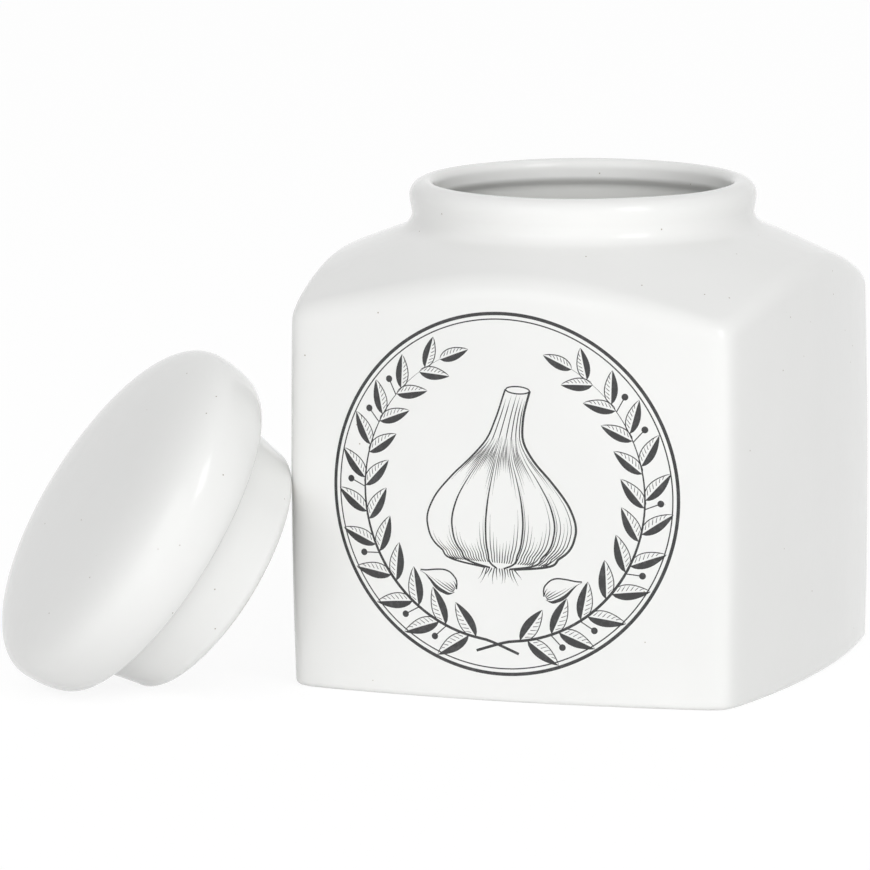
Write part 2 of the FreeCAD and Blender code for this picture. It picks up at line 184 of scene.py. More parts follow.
def outside_distance(x, y, z):
    """Distance to the jar's outer form, as if it were solid."""
    radius = np.hypot(x, y)
    belly = 1 - CAMBER * ((z - CAMBER_MIDDLE) / CAMBER_MIDDLE) ** 2
    sides = plan_distance(x / belly, y / belly, 0)
    corner = -np.cos(4 * np.arctan2(y, x))      # 1 at the corners, -1 between them
    outward = np.clip((radius - SAG_FROM) / (SAG_TO - SAG_FROM), 0, 1)
    front = smooth_step(-y / np.maximum(radius, 1), FRONT_FROM, FRONT_TO)
    slump = (CORNER_DROP * corner * smooth_step(radius, DROP_FROM, DROP_TO)
             + (SHOULDER_TILT * x / HALF_WIDTH + FRONT_SAG * (1 - x / HALF_WIDTH) * front) * outward)
    dome = np.hypot(radius - DOME_CENTRE[0], z - DOME_CENTRE[1] + slump) - DOME_RADIUS
    slope = np.clip((radius - DOME_CENTRE[0]) / DOME_RADIUS, 0, 0.9)
    edge_round = SHOULDER_EDGE_ROUND + (FRONT_EDGE_ROUND - SHOULDER_EDGE_ROUND) * front
    shoulder = round_meet(sides, dome, edge_round, slope)
    body = round_meet(shoulder, -z, FOOT_ROUND)
    up = z + sunk(x, y)
    bead = (RIM_RADIUS - NECK_RADIUS) * smooth_step(up, BEAD_BOTTOM, BEAD_TOP)
    neck = round_meet(radius - NECK_RADIUS - bead, up - RIM_HEIGHT, RIM_ROUND)
    return round_join(body, np.maximum(neck, INSIDE_BODY - z), NECK_JOIN)


def inside_distance(x, y, z):
    """Distance to the space inside the jar, mouth and throat included."""
    radius = np.hypot(x, y)
    ceiling = np.hypot(radius - DOME_CENTRE[0], z - DOME_CENTRE[1]) - DOME_RADIUS + WALL
    sides = plan_distance(x, y, WALL)
    chamber = round_meet(round_meet(sides, ceiling, INNER_EDGE_ROUND), FLOOR - z, INNER_FLOOR_ROUND)
    band = RIM_HEIGHT - LIP_DEPTH
    step = THROAT_RADIUS - MOUTH_RADIUS
    throat = THROAT_RADIUS - step * smooth_step(z + sunk(x, y), band - step, band + step / 2)
    passage = np.maximum(radius - throat, INSIDE_BODY - z)
    return round_join(chamber, passage, THROAT_FLARE)


def jar_distance(points):
    """Distance to the porcelain of the jar, negative inside it."""
    x, y, z = points[..., 0], points[..., 1], points[..., 2]
    walls = round_meet(outside_distance(x, y, z), -inside_distance(x, y, z), LIP_ROUND)
    return walls + unevenness(points, jar_waves) * smooth_step(z, WAVES_FROM, WAVES_FULL)


# ---------------------------------------------------------------- meshes

def add_mesh(name, vertices, faces, material, smooth=True, **marks):
    """A mesh object from millimetre vertices; marks are values for each of them."""
    mesh = bpy.data.meshes.new(name)
    mesh.from_pydata((np.asarray(vertices) * MM).tolist(), [], faces)
    for mark, values in marks.items():
        mesh.attributes.new(mark, "FLOAT", "POINT").data.foreach_set("value", values)
    mesh.validate()
    mesh.polygons.foreach_set("use_smooth", [smooth] * len(mesh.polygons))
    mesh.materials.append(material)
    thing = bpy.data.objects.new(name, mesh)
    bpy.context.scene.collection.objects.link(thing)
    return thing


def turned_faces(rows, columns, first=0):
    """Quads between rings of vertices that close on themselves."""
    faces = []
    for row in range(rows - 1):
        low, high = first + row * columns, first + (row + 1) * columns
        for column in range(columns):
            following = (column + 1) % columns
            faces.append((low + column, low + following, high + following, high + column))
    return faces


def cap_faces(ring, centre, outward):
    """A fan of triangles between a closed ring and a point."""
    pairs = zip(ring, ring[1:] + ring[:1])
    return [(centre, a, b) if outward else (centre, b, a) for a, b in pairs]


def middle_shares(steps):
    """Even shares between 0 and 1, without the ends."""
    return np.linspace(0, 1, steps + 2)[1:-1]


QUADRANT_COLUMNS = 64
EVEN_SHARE = 0.32               # share of the columns that stays evenly spread
# how far the closer rows of the jar's mesh reach
FOOT_ZONE = 7.0                 # from the foot's edge
EDGE_ZONE = 10.5                # from the shoulder's edge
NECK_ZONE = 6.5                 # from the neck along the shoulder
NECK_RISE = 4.5                 # and up the neck
THROAT_RISE = 6.5               # from the ceiling up the throat
THROAT_ZONE = 7.5               # and along the ceiling
CHAMBER_ZONE = 8.0              # from the chamber's edges
ROW_GAP = 1.0                   # from there to the evenly spread rows
STEP_ABOVE, STEP_BELOW = 0.7, 1.4       # rows of the step under the lip, from its middle
INNER_SHADE_FADE = 1.5               # over this depth below the lip the painted inner shade comes in
DRY_RING = (1.2, 2.0, 8.5, 9.5)         # where the foot's dry ring begins and ends, from its edge


def jar_azimuths():
    """Azimuths of the jar's mesh columns, closer together at the four corners."""
    turns = np.arange(QUADRANT_COLUMNS) / QUADRANT_COLUMNS * 2 - 1
    spread = EVEN_SHARE * turns + (1 - EVEN_SHARE) * np.sin(turns * math.pi / 2)
    return np.radians(np.concatenate([90 * side + 45 * spread for side in range(4)]))


def plan_radius(azimuth, inset, steps=40, stride=0.9):
    """How far the plan's outline lies from the axis at an azimuth."""
    radius = np.full_like(azimuth, HALF_WIDTH - inset)
    for _ in range(steps):
        away = plan_distance(radius * np.cos(azimuth), radius * np.sin(azimuth), inset)
        radius = radius - away * stride
    return radius


def dome_height(radius, inset=0.0):
    return DOME_CENTRE[1] + np.sqrt((DOME_RADIUS - inset) ** 2 - (radius - DOME_CENTRE[0]) ** 2)


def from_edge(steps, last):
    """Distances from an edge, closer together near it."""
    return last * (np.arange(steps) + 0.5) ** 1.5 / (steps - 0.5) ** 1.5


def jar_section(outer, inner):
    """Radii and heights of the jar's mesh rows for each column, before they are drawn to the form."""
    ones = np.ones_like(outer)
    edge_height, inner_height = dome_height(outer), dome_height(inner, WALL)
    neck_foot = float(dome_height(np.array(NECK_RADIUS)))
    ceiling = float(dome_height(np.array(THROAT_RADIUS), WALL))
    band = RIM_HEIGHT - LIP_DEPTH
    rows = []

    def row(radius, height):
        rows.append((radius * ones, height * ones))

    # the base and the sides
    for share in (0.3, 0.6, 0.85):
        row((outer - FOOT_ZONE - ROW_GAP) * share, 0)
    near = from_edge(8, FOOT_ZONE)
    for away in near[::-1]:
        row(outer - away, 0)
    for away in near:
        row(outer, away)
    for share in middle_shares(28):
        row(outer, FOOT_ZONE + (edge_height - EDGE_ZONE - FOOT_ZONE) * share)
    # the shoulder
    near = from_edge(12, EDGE_ZONE)
    for away in near[::-1]:
        row(outer, edge_height - away)
    for away in near:
        row(outer - away, dome_height(outer - away))
    for share in middle_shares(18):
        radius = outer - EDGE_ZONE + (NECK_RADIUS + NECK_ZONE - outer + EDGE_ZONE) * share
        row(radius, dome_height(radius))
    for away in from_edge(9, NECK_ZONE)[::-1]:
        row(NECK_RADIUS + away, dome_height(NECK_RADIUS + away * ones))
    # the neck, the rim and the step under the lip
    for away in from_edge(7, NECK_RISE):
        row(NECK_RADIUS, neck_foot + away)
    for height in np.linspace(neck_foot + NECK_RISE, RIM_HEIGHT - RIM_ROUND, 7)[1:-1]:
        row(NECK_RADIUS, height)
    for angle in np.radians(np.linspace(0, 90, 12)):
        row(RIM_RADIUS - RIM_ROUND * (1 - math.cos(angle)),
            RIM_HEIGHT - RIM_ROUND * (1 - math.sin(angle)))
    for angle in np.radians(np.linspace(90, 180, 8)):
        row(MOUTH_RADIUS + LIP_ROUND * (1 + math.cos(angle)),
            RIM_HEIGHT - LIP_ROUND * (1 - math.sin(angle)))
    for height in np.linspace(RIM_HEIGHT - LIP_ROUND, band + ROW_GAP, 5)[1:]:
        row(MOUTH_RADIUS, height)
    for share in np.linspace(0, 1, 6):
        row(MOUTH_RADIUS + (THROAT_RADIUS - MOUTH_RADIUS) * share,
            band + STEP_ABOVE - (STEP_ABOVE + STEP_BELOW) * share)
    # the throat and the ceiling
    for height in np.linspace(band - 2 * ROW_GAP, ceiling + THROAT_RISE + ROW_GAP / 2, 4)[1:]:
        row(THROAT_RADIUS, height)
    for away in from_edge(8, THROAT_RISE)[::-1]:
        row(THROAT_RADIUS, ceiling + away)
    for away in from_edge(8, THROAT_ZONE):
        row(THROAT_RADIUS + away, dome_height(THROAT_RADIUS + away * ones, WALL))
    start, end = THROAT_RADIUS + THROAT_ZONE + ROW_GAP / 2, inner - CHAMBER_ZONE - ROW_GAP
    for share in middle_shares(10):
        radius = start + (end - start) * share
        row(radius, dome_height(radius, WALL))
    # the chamber's sides and floor
    near = from_edge(7, CHAMBER_ZONE)
    for away in near[::-1]:
        row(inner - away, dome_height(inner - away, WALL))
    for away in near:
        row(inner, inner_height - away)
    start, end = inner_height - CHAMBER_ZONE - ROW_GAP, FLOOR + CHAMBER_ZONE + ROW_GAP
    for share in middle_shares(14):
        row(inner, start + (end - start) * share)
    for away in near[::-1]:
        row(inner, FLOOR + away)
    for away in near:
        row(inner - away, FLOOR)
    for share in (0.8, 0.55, 0.3):
        row((inner - CHAMBER_ZONE - ROW_GAP) * share, FLOOR)
    return np.array([r for r, _ in rows]), np.array([h for _, h in rows])


def settle(azimuth, radius, height, steps=12, longest=1.5, probe=0.02):
    """Draws points to the jar's surface, each within its own upright plane through the axis."""
    def distance(r, h):
        return jar_distance(np.stack([r * np.cos(azimuth), r * np.sin(azimuth), h], axis=-1))

    for _ in range(steps):
        here = distance(radius, height)
        out = (distance(radius + probe, height) - distance(radius - probe, height)) / (2 * probe)
        up = (distance(radius, height + probe) - distance(radius, height - probe)) / (2 * probe)
        step = np.clip(here / np.maximum(out ** 2 + up ** 2, 0.1), -longest, longest)
        radius, height = radius - step * out, height - step * up
    return radius, height


def make_jar(material):
    """The glazed jar, inside and outside, as one closed skin."""
    azimuth = jar_azimuths()
    radius, height = jar_section(plan_radius(azimuth, 0), plan_radius(azimuth, WALL))
    radius, height = settle(azimuth, radius, height)
    rows, columns = radius.shape
    rings = np.stack([radius * np.cos(azimuth), radius * np.sin(azimuth), height], axis=-1)
    vertices = np.concatenate([rings.reshape(-1, 3), [(0, 0, 0), (0, 0, FLOOR)]])
    faces = turned_faces(rows, columns)
    first, last = list(range(columns)), list(range((rows - 1) * columns, rows * columns))
    faces += cap_faces(first, rows * columns, outward=False)
    faces += cap_faces(last, rows * columns + 1, outward=True)
    x, y, z = vertices.T
    plan = plan_distance(x, y, 0)
    below_lip = RIM_HEIGHT - LIP_DEPTH - z - sunk(x, y)
    # painted shade: inner walls below the lip are drawn greyer, standing in for the shadow inside the
    # jar
    painted_shade = (np.abs(inside_distance(x, y, z)) < 1) * smooth_step(below_lip, 0, INNER_SHADE_FADE)
    bare = ((z < 0.2) * smooth_step(-plan, DRY_RING[0], DRY_RING[1])
            * smooth_step(plan, -DRY_RING[3], -DRY_RING[2]))
    return add_mesh("jar_porcelain", vertices, faces, material, inside=painted_shade, bare=bare)


# ---------------------------------------------------------------- the lid's form

CAP_RADIUS = 44.12
CAP_HEIGHT = 21.55
CAP_WIDEST = 9.64               # height of the widest ring above the seat
CAP_SIDE_POWER = 3.23           # how square the cap's shoulder is, towards the side
CAP_TOP_POWER = 2.53            # and towards the crown
CAP_BUNCH = 1.15                # draws the cap's rows a little together towards the crown
CAP_TUCK = 3.23                 # how far the cap draws in from its widest ring to its seat
PLUG_RADIUS = 34.18
PLUG_DEPTH = 17.0
PLUG_TAPER = 2.1
PLUG_COVE = 3.4
PLUG_EDGE_ROUND = 2.68
PLUG_WALL = 4.5
PLUG_INNER_ROUND = 1.2
CROWN_THICKNESS = 6.0
RECESS_DRAFT = 1.5
RECESS_ROUND = 8.0
RECESS_FADE = 0.4               # over this depth below the recess's ceiling its painted shade comes in
RECESS_SHADE = 0.4              # as a share of the jar's painted inner shade
DRY_EDGE = 1.2                  # the plug's dry end begins this far in from its side
LID_COLUMNS = 176
LID_TILT = 56.65                # angle between the lid's axis and the vertical, degrees
LID_HEADING = -140.53           # where that axis points in plan
LID_SEAT = (-85.62, -60.98, 35.20)      # centre of the seat where the lid leans on the jar


def arc(centre, radius, first, last, steps):
    angles = np.radians(np.linspace(first, last, steps))
    return [(centre[0] + radius * math.cos(a), centre[1] + radius * math.sin(a)) for a in angles]


def straight(start, end, steps):
    """Points between two ends, without them."""
    return [(start[0] + (end[0] - start[0]) * share, start[1] + (end[1] - start[1]) * share)
            for share in middle_shares(steps)]


def lid_section():
    """Half of the lid's section, from the crown round the outside and back up the recess."""
    section = []
    for share in np.linspace(0, 1, 52)[1:]:
        turn = math.pi / 2 * (1 - share ** CAP_BUNCH)
        rise = math.sin(turn) ** (2 / CAP_TOP_POWER)
        section.append((CAP_RADIUS * math.cos(turn) ** (2 / CAP_SIDE_POWER),
                        CAP_WIDEST + (CAP_HEIGHT - CAP_WIDEST) * rise))
    for turn in np.radians(np.linspace(0, 90, 14))[1:]:
        section.append((CAP_RADIUS - CAP_TUCK * (1 - math.cos(turn)),
                        CAP_WIDEST * (1 - math.sin(turn))))
    seat = section[-1]
    cove = (PLUG_RADIUS + PLUG_COVE, -PLUG_COVE)
    section += straight(seat, (cove[0], 0), 4)
    section += arc(cove, PLUG_COVE, 90, 180, 9)
    foot_radius = PLUG_RADIUS - PLUG_TAPER
    edge = (foot_radius - PLUG_EDGE_ROUND, -PLUG_DEPTH + PLUG_EDGE_ROUND)
    section += straight(section[-1], (foot_radius, edge[1]), 9)
    section += arc(edge, PLUG_EDGE_ROUND, 0, -90, 10)
    recess = foot_radius - PLUG_WALL
    lip = (recess + PLUG_INNER_ROUND, -PLUG_DEPTH + PLUG_INNER_ROUND)
    section += arc(lip, PLUG_INNER_ROUND, -90, -180, 7)
    top = recess - RECESS_DRAFT
    ceiling = CAP_HEIGHT - CROWN_THICKNESS
    bend = (top - RECESS_ROUND, ceiling - RECESS_ROUND)
    section += straight(section[-1], (top, bend[1]), 10)
    section += arc(bend, RECESS_ROUND, 0, 90, 11)
    section += straight(section[-1], (0, ceiling), 5)
    return np.array(section), ceiling


def lid_placement():
    """Turns the lid's own axis to where it leans, and moves its seat there."""
    heading, tilt = math.radians(LID_HEADING), math.radians(LID_TILT)
    axis = Vector((math.sin(tilt) * math.cos(heading), math.sin(tilt) * math.sin(heading),
                   math.cos(tilt)))
    turn = Vector((0, 0, 1)).rotation_difference(axis).to_matrix()
    return np.array(turn), np.array(LID_SEAT)


def make_lid(material):
    """The glazed lid, with the hollow underneath, as one closed skin."""
    section, ceiling = lid_section()
    azimuth = np.arange(LID_COLUMNS) / LID_COLUMNS * 2 * math.pi
    rings = np.stack([section[:, :1] * np.cos(azimuth), section[:, :1] * np.sin(azimuth),
                      section[:, 1:] * np.ones_like(azimuth)], axis=-1)
    rows = len(section)
    across = np.roll(rings, -1, axis=1) - np.roll(rings, 1, axis=1)
    normals = np.cross(np.gradient(rings, axis=0), across)
    normals /= np.linalg.norm(normals, axis=-1)[..., None]
    rings = rings + normals * unevenness(rings, lid_waves)[..., None]
    vertices = np.concatenate([rings.reshape(-1, 3), [(0, 0, CAP_HEIGHT), (0, 0, ceiling)]])
    radius, height = np.hypot(vertices[:, 0], vertices[:, 1]), vertices[:, 2]
    foot = PLUG_RADIUS - PLUG_TAPER
    bare = (height < 0.3 - PLUG_DEPTH) * (radius < foot - DRY_EDGE) * 1.0
    # painted shade: the lid's hollow underneath is drawn greyer, standing in for its shadow
    hollow = (radius < foot - PLUG_WALL + 0.5) * smooth_step(ceiling + 0.5 - height, 0, RECESS_FADE)
    turn, seat = lid_placement()
    vertices = vertices @ turn.T + seat
    faces = [tuple(reversed(face)) for face in turned_faces(rows, LID_COLUMNS)]
    first = list(range(LID_COLUMNS))
    last = list(range((rows - 1) * LID_COLUMNS, rows * LID_COLUMNS))
    faces += cap_faces(first, rows * LID_COLUMNS, outward=True)
    faces += cap_faces(last, rows * LID_COLUMNS + 1, outward=False)
    return add_mesh("lid_porcelain", vertices, faces, material, inside=hollow * RECESS_SHADE,
                    bare=bare)


# ---------------------------------------------------------------- the fired print

PRINT_CENTRE = (0.6, 49.2)      # on the front face, as (x, z)
PRINT_TURN = -1.9               # degrees; the decal went on a little askew
INK_ABOVE = 0.018               # how far a patch of ink stands above the glaze
INK_BELOW = 0.05                # and reaches into it
THINNEST = 0.12                 # width left at a stroke's thin end, as a share of its full width
RING_RADIUS = 42.4
RING_WIDTH = 0.8
INNER_RING_RADIUS = 41.1
INNER_RING_WIDTH = 0.3
RING_STEPS = 220
STEM_RADIUS = 34.6              # the sprigs' stems follow a circle
STEM_WIDTH = 0.65
STEM_START = -84                # angle from the right where a sprig springs, degrees
STEM_END = 62
STEM_TAIL = -98                 # the cut end, past the crossing with the other sprig
TAIL_FLARE = 0.045              # how fast the cut end turns outward
LEAF_PAIRS = 11
FIRST_PAIR = 0.35               # where the first pair sits, as a share of the way to the second
LEAF_LENGTH = 9.4
LEAF_WIDTH = 3.5
LEAF_ANGLE = 40                 # between a leaf and its stem, degrees
LEAF_SHRINK = 0.22              # how much smaller the last pair is
TIP_LEAF = 0.8                  # size of the single leaf at a sprig's tip
LEAF_BEND = 0.9
LEAF_POINT = 0.05               # half-width left at a leaf's two ends
LEAF_RIB = 0.16                 # half-width of the bare rib
LEAF_LINE = 0.24
VEINS = 6
VEIN_LINE = 0.15
VEIN_SLANT = 0.13               # how far along the leaf a vein runs
VEIN_ROOT = 0.3                 # and how far from the rib it starts
BERRIES = (1, 2, 4, 6, 8, 9)    # leaf pairs with a berry beside them
BERRY_RADIUS = 0.8
BERRY_STALK = 3.7
BERRY_LINE = 0.26
# the bulb's half-widths, from its base plate to the top of its stem, as (height, half-width)
BULB_PROFILE = ((-17.4, 3.5), (-16.7, 9.0), (-13.9, 14.7), (-8.4, 18.3), (-2.2, 16.9), (3.7, 12.3),
                (8.4, 7.7), (12.5, 4.7), (17.6, 3.4), (24.8, 3.0))
BULB_LINE = 0.42
BULB_SHADE_LINE = 0.55          # the outline on the shaded side
BULB_CREASES = (-0.66, -0.2, 0.3, 0.72)     # where cloves meet, as shares of the half-width
CREASE_TOP = 13.7
LEAN_FROM = 7.0                 # the stem leans to the right above this height
LEAN = 0.033
HATCH = 0.20                    # width of a shading line
HATCHES = 41
HATCH_SPREAD = 0.94             # place of the outermost ones, as a share of the half-width
HATCH_FOOT = -16.1              # lowest ends of those that rise from the base
HATCH_HEAD = 10.1               # highest ends of those that fall from the stem
STEM_FOLDS = (-0.7, -0.35, 0.05, 0.35, 0.6, 0.82)
FOLD_LINE = 0.24
CUT_END = (2.9, 0.85)           # half-axes of the stem's cut end
CUT_LINE = 0.32
ROOTS = 13
ROOT_SPREAD = 3.7
ROOT_LENGTH = 2.9
ROOT_LINE = 0.26
CLOVE_PROFILE = ((-4.3, 0.45), (-3.8, 1.4), (-1.9, 2.5), (0.35, 2.5), (2.55, 1.45), (4.4, 0.45),
                 (5.6, 0.13))
CLOVE_LINE = 0.36
CLOVE_HATCH = 0.22
CLOVE_HATCHES = ((0.5, 3.6), (0.26, 1.5), (0.02, -0.7), (-0.24, -2.0), (-0.6, -2.5))
CLOVE_BEND = 0.03
# the cloves beside the bulb: centre, turn in degrees, side of the shade
CLOVES = (((-14.4, -21.2), 60, -1), ((14.8, -21.0), -58, 1))


def front_of_jar(across, up, above, steps=6):
    """Points on the jar's front glaze, or a little above it."""
    y = np.full_like(across, -HALF_WIDTH)
    for _ in range(steps):
        y = y + jar_distance(np.stack([across, y, up], axis=-1)) - above
    return np.stack([across, y, up], axis=-1)


def between(profile, at):
    """A smooth curve through a profile's points, which are (place, value) pairs."""
    place, value = np.array(profile).T
    slopes = np.gradient(value, place)
    step = np.clip(np.searchsorted(place, at, side="right") - 1, 0, len(place) - 2)
    span = place[step + 1] - place[step]
    s = (at - place[step]) / span
    return (value[step] * (1 + 2 * s) * (1 - s) ** 2 + value[step + 1] * s * s * (3 - 2 * s)
            + slopes[step] * span * s * (1 - s) ** 2 - slopes[step + 1] * span * s * s * (1 - s))


def polar(radius, degrees):
    angle = np.radians(degrees)
    return np.stack([radius * np.cos(angle), radius * np.sin(angle)], axis=-1)


class Print:
    """Thin closed patches of ink that lie on the jar's front, drawn around the print's centre."""

    def __init__(self):
        self.vertices = []
        self.faces = []

    def strip(self, left, right, closed=False):
        """A patch between two lines with the same number of points."""
        turn = math.radians(PRINT_TURN)
        flat = np.stack([left, right])
        across = PRINT_CENTRE[0] + flat[..., 0] * math.cos(turn) - flat[..., 1] * math.sin(turn)
        up = PRINT_CENTRE[1] + flat[..., 0] * math.sin(turn) + flat[..., 1] * math.cos(turn)
        top = front_of_jar(across, up, INK_ABOVE)
        bottom = front_of_jar(across, up, -INK_BELOW)
        count, first = len(left), len(self.vertices)
        self.vertices += np.concatenate([top[0], top[1], bottom[1], bottom[0]]).tolist()
        for here in range(count if closed else count - 1):
            there = (here + 1) % count
            for side in range(4):
                low, high = first + side * count, first + (side + 1) % 4 * count
                self.faces.append((low + here, high + here, high + there, low + there))
        if not closed:
            for end, order in ((0, (3, 2, 1, 0)), (count - 1, (0, 1, 2, 3))):
                self.faces.append(tuple(first + side * count + end for side in order))

    def stroke(self, line, width, taper=(0.0, 0.0), closed=False):
        """A line of ink that thins towards its ends over the given shares of its length."""
        line = np.asarray(line, dtype=float)
        if closed:
            along = np.roll(line, -1, axis=0) - np.roll(line, 1, axis=0)
        else:
            along = np.gradient(line, axis=0)
        along /= np.linalg.norm(along, axis=1)[:, None]
        share = np.linspace(0, 1, len(line))
        half = np.full(len(line), width / 2)
        if taper[0]:
            half *= np.clip(share / taper[0], THINNEST, 1)
        if taper[1]:
            half *= np.clip((1 - share) / taper[1], THINNEST, 1)
        aside = np.stack([-along[:, 1], along[:, 0]], axis=-1) * half[:, None]
        self.strip(line + aside, line - aside, closed)

    def dot(self, centre, radius, steps=16):
        """A round spot, as two half discs side by side."""
        turns = np.linspace(-90, 90, steps)
        self.strip(centre + polar(radius, turns), centre + polar(radius, 180 - turns))

    def piece(self, name, material):
        return add_mesh(name, self.vertices, self.faces, material, smooth=False)


def draw_rings(ink_print):
    turns = np.arange(RING_STEPS) / RING_STEPS * 360
    ink_print.stroke(polar(RING_RADIUS, turns), RING_WIDTH, closed=True)
    ink_print.stroke(polar(INNER_RING_RADIUS, turns), INNER_RING_WIDTH, closed=True)


def draw_leaf(ink_print, root, degrees, size, dark_side):
    """A pointed leaf: one half solid, the other outlined and veined, a bare rib between them."""
    length, width = LEAF_LENGTH * size, LEAF_WIDTH * size / 2
    share = np.linspace(0, 1, 13)
    body = np.sin(math.pi * share ** 0.8) ** 0.85
    bend = LEAF_BEND * size * share ** 2 * dark_side
    forward = polar(1.0, degrees)
    aside = np.array([-forward[1], forward[0]])

    def at(along, off):
        return root + np.multiply.outer(along * length, forward) + np.multiply.outer(off, aside)

    rib = bend + dark_side * LEAF_RIB * body
    ink_print.strip(at(share, rib), at(share, rib + dark_side * (LEAF_POINT + width * body)))
    light_edge = bend - dark_side * (LEAF_POINT + width * body)
    ink_print.stroke(at(share, light_edge), LEAF_LINE, (0.1, 0.1))
    span = np.linspace(0, 1, 3)
    for start in np.linspace(0.16, 0.74, VEINS):
        along = start + VEIN_SLANT * span
        reach = width * np.interp(along, share, body)
        off = VEIN_ROOT + (reach - VEIN_ROOT) * span
        vein = np.interp(along, share, bend) - dark_side * off
        ink_print.stroke(at(along, vein), VEIN_LINE, (0, 0.5))


def pair_share(number):
    """Place of a leaf pair along its sprig."""
    return (number + FIRST_PAIR) / LEAF_PAIRS


def draw_sprig(ink_print, side):
    """One sprig of the wreath, from the bottom up its side (1 right, -1 left)."""
    mirror = np.array([side, 1])
    turns = np.linspace(STEM_TAIL, STEM_END, 64)
    out = TAIL_FLARE * np.maximum(STEM_START - turns, 0) ** 1.6
    stem = polar(1.0, turns) * (STEM_RADIUS + out)[:, None]
    ink_print.stroke(stem * mirror, STEM_WIDTH, (0, 0.6))
    for share in map(pair_share, range(LEAF_PAIRS)):
        turn = STEM_START + (STEM_END - STEM_START) * share
        size = 1 - LEAF_SHRINK * share ** 2
        for lean in (1, -1):
            root = polar(STEM_RADIUS, turn + 1.5 * lean) * mirror
            way = turn + 90 - lean * (LEAF_ANGLE - 6 * share)
            draw_leaf(ink_print, root, way if side > 0 else 180 - way, size, -lean * side)
    way = 90 + side * STEM_END
    draw_leaf(ink_print, polar(STEM_RADIUS, STEM_END) * mirror, way, TIP_LEAF, side)
    for share in map(pair_share, BERRIES):
        turn = STEM_START + (STEM_END - STEM_START) * share
        root, berry = polar(STEM_RADIUS, turn - 2), polar(STEM_RADIUS + BERRY_STALK, turn + 0.5)
        stalk = root + (berry - root) * np.linspace(0, 1, 5)[:, None]
        ink_print.stroke(stalk * mirror, BERRY_LINE)
        ink_print.dot(berry * mirror, BERRY_RADIUS)


def draw_bulb(ink_print):
    """A whole garlic bulb in engraved lines, with its dry stem and roots."""
    bottom, top = BULB_PROFILE[0][0], BULB_PROFILE[-1][0]

    def meridian(share, low, high, steps=24, bunch=1.0):
        up = low + (high - low) * np.linspace(0, 1, steps) ** bunch
        lean = LEAN * np.maximum(up - LEAN_FROM, 0) ** 1.6
        return np.stack([share * between(BULB_PROFILE, up) + lean, up], axis=-1)

    for side, width in ((-1, BULB_LINE), (1, BULB_SHADE_LINE)):
        ink_print.stroke(meridian(side, bottom, top, 60, 1.8), width)
    for share in BULB_CREASES:
        ink_print.stroke(meridian(share, bottom, CREASE_TOP, 44, 1.6), BULB_LINE, (0, 0.4))
    for number, share in enumerate(np.linspace(-HATCH_SPREAD, HATCH_SPREAD, HATCHES)):
        away = min(abs(share - crease) for crease in (-1.0, *BULB_CREASES, 1.0))
        if away < 0.02:
            continue
        # lines are longer near a crease and towards the right, which is the shaded side
        shade = 0.5 + 0.5 * share
        reach = (0.75 + 0.9 * shade) * math.exp(-(away / 0.1) ** 2) + 0.25 + 0.3 * shade
        jitter = 1 + 0.12 * math.sin(number * 2.4)
        low_end = -15.0 + 11.5 * min(reach, 1.6) * jitter * (0.55 + 0.45 * shade)
        high_start = 8.8 - 7.7 * min(reach, 1.5) * jitter
        high_end = HATCH_HEAD + 1.6 * (number % 3)
        ink_print.stroke(meridian(share, HATCH_FOOT, low_end, 14), HATCH + 0.06 * shade, (0, 0.7))
        if high_start > low_end + 0.8:
            ink_print.stroke(meridian(share, high_start, high_end, 12), HATCH, (0.6, 0.3))
    for share in STEM_FOLDS:
        ink_print.stroke(meridian(share, 10.4, 24.2 - 2.2 * abs(share), 14), FOLD_LINE, (0.3, 0.25))
    head = meridian(0.0, top, top + 0.01, 2)[0]
    cut = polar(1.0, np.linspace(0, 360, 25)[:-1]) * CUT_END
    ink_print.stroke(head + cut, CUT_LINE, closed=True)
    for number, share in enumerate(np.linspace(-1, 1, ROOTS)):
        length = ROOT_LENGTH + math.sin(number * 1.9)
        bow = np.linspace(0, 1, 7)
        across = ROOT_SPREAD * share + 1.6 * share * bow + 0.35 * np.sin(bow * 3 + number) * bow
        ink_print.stroke(np.stack([across, bottom - length * bow], axis=-1), ROOT_LINE, (0, 0.7))


def draw_clove(ink_print, centre, degrees, dark_side):
    """A single clove that lies beside the bulb."""
    turn = math.radians(degrees)
    low, high = CLOVE_PROFILE[0][0], CLOVE_PROFILE[-1][0]

    def meridian(share, start, end, steps=20):
        up = np.linspace(start, end, steps)
        across = share * between(CLOVE_PROFILE, up) + CLOVE_BEND * (up + 1) ** 2 * dark_side
        return np.stack([centre[0] + across * math.cos(turn) - up * math.sin(turn),
                         centre[1] + across * math.sin(turn) + up * math.cos(turn)], axis=-1)

    ink_print.stroke(meridian(-dark_side, low, high), CLOVE_LINE)
    ink_print.strip(meridian(dark_side * 0.72, low, high), meridian(dark_side * 1.05, low, high))
    for share, end in CLOVE_HATCHES:
        ink_print.stroke(meridian(dark_side * share, low + 0.3, end, 10), CLOVE_HATCH, (0, 0.6))


def make_prints(material):
    """The decal's pieces: ring, wreath, and bulb with two cloves."""
    rings, wreath, bulb = Print(), Print(), Print()
    draw_rings(rings)
    for side in (1, -1):
        draw_sprig(wreath, side)
    draw_bulb(bulb)
    for centre, degrees, dark_side in CLOVES:
        draw_clove(bulb, centre, degrees, dark_side)
    return [rings.piece("print_rings", material), wreath.piece("print_wreath", material),
            bulb.piece("print_bulb", material)]


# ---------------------------------------------------------------- materials

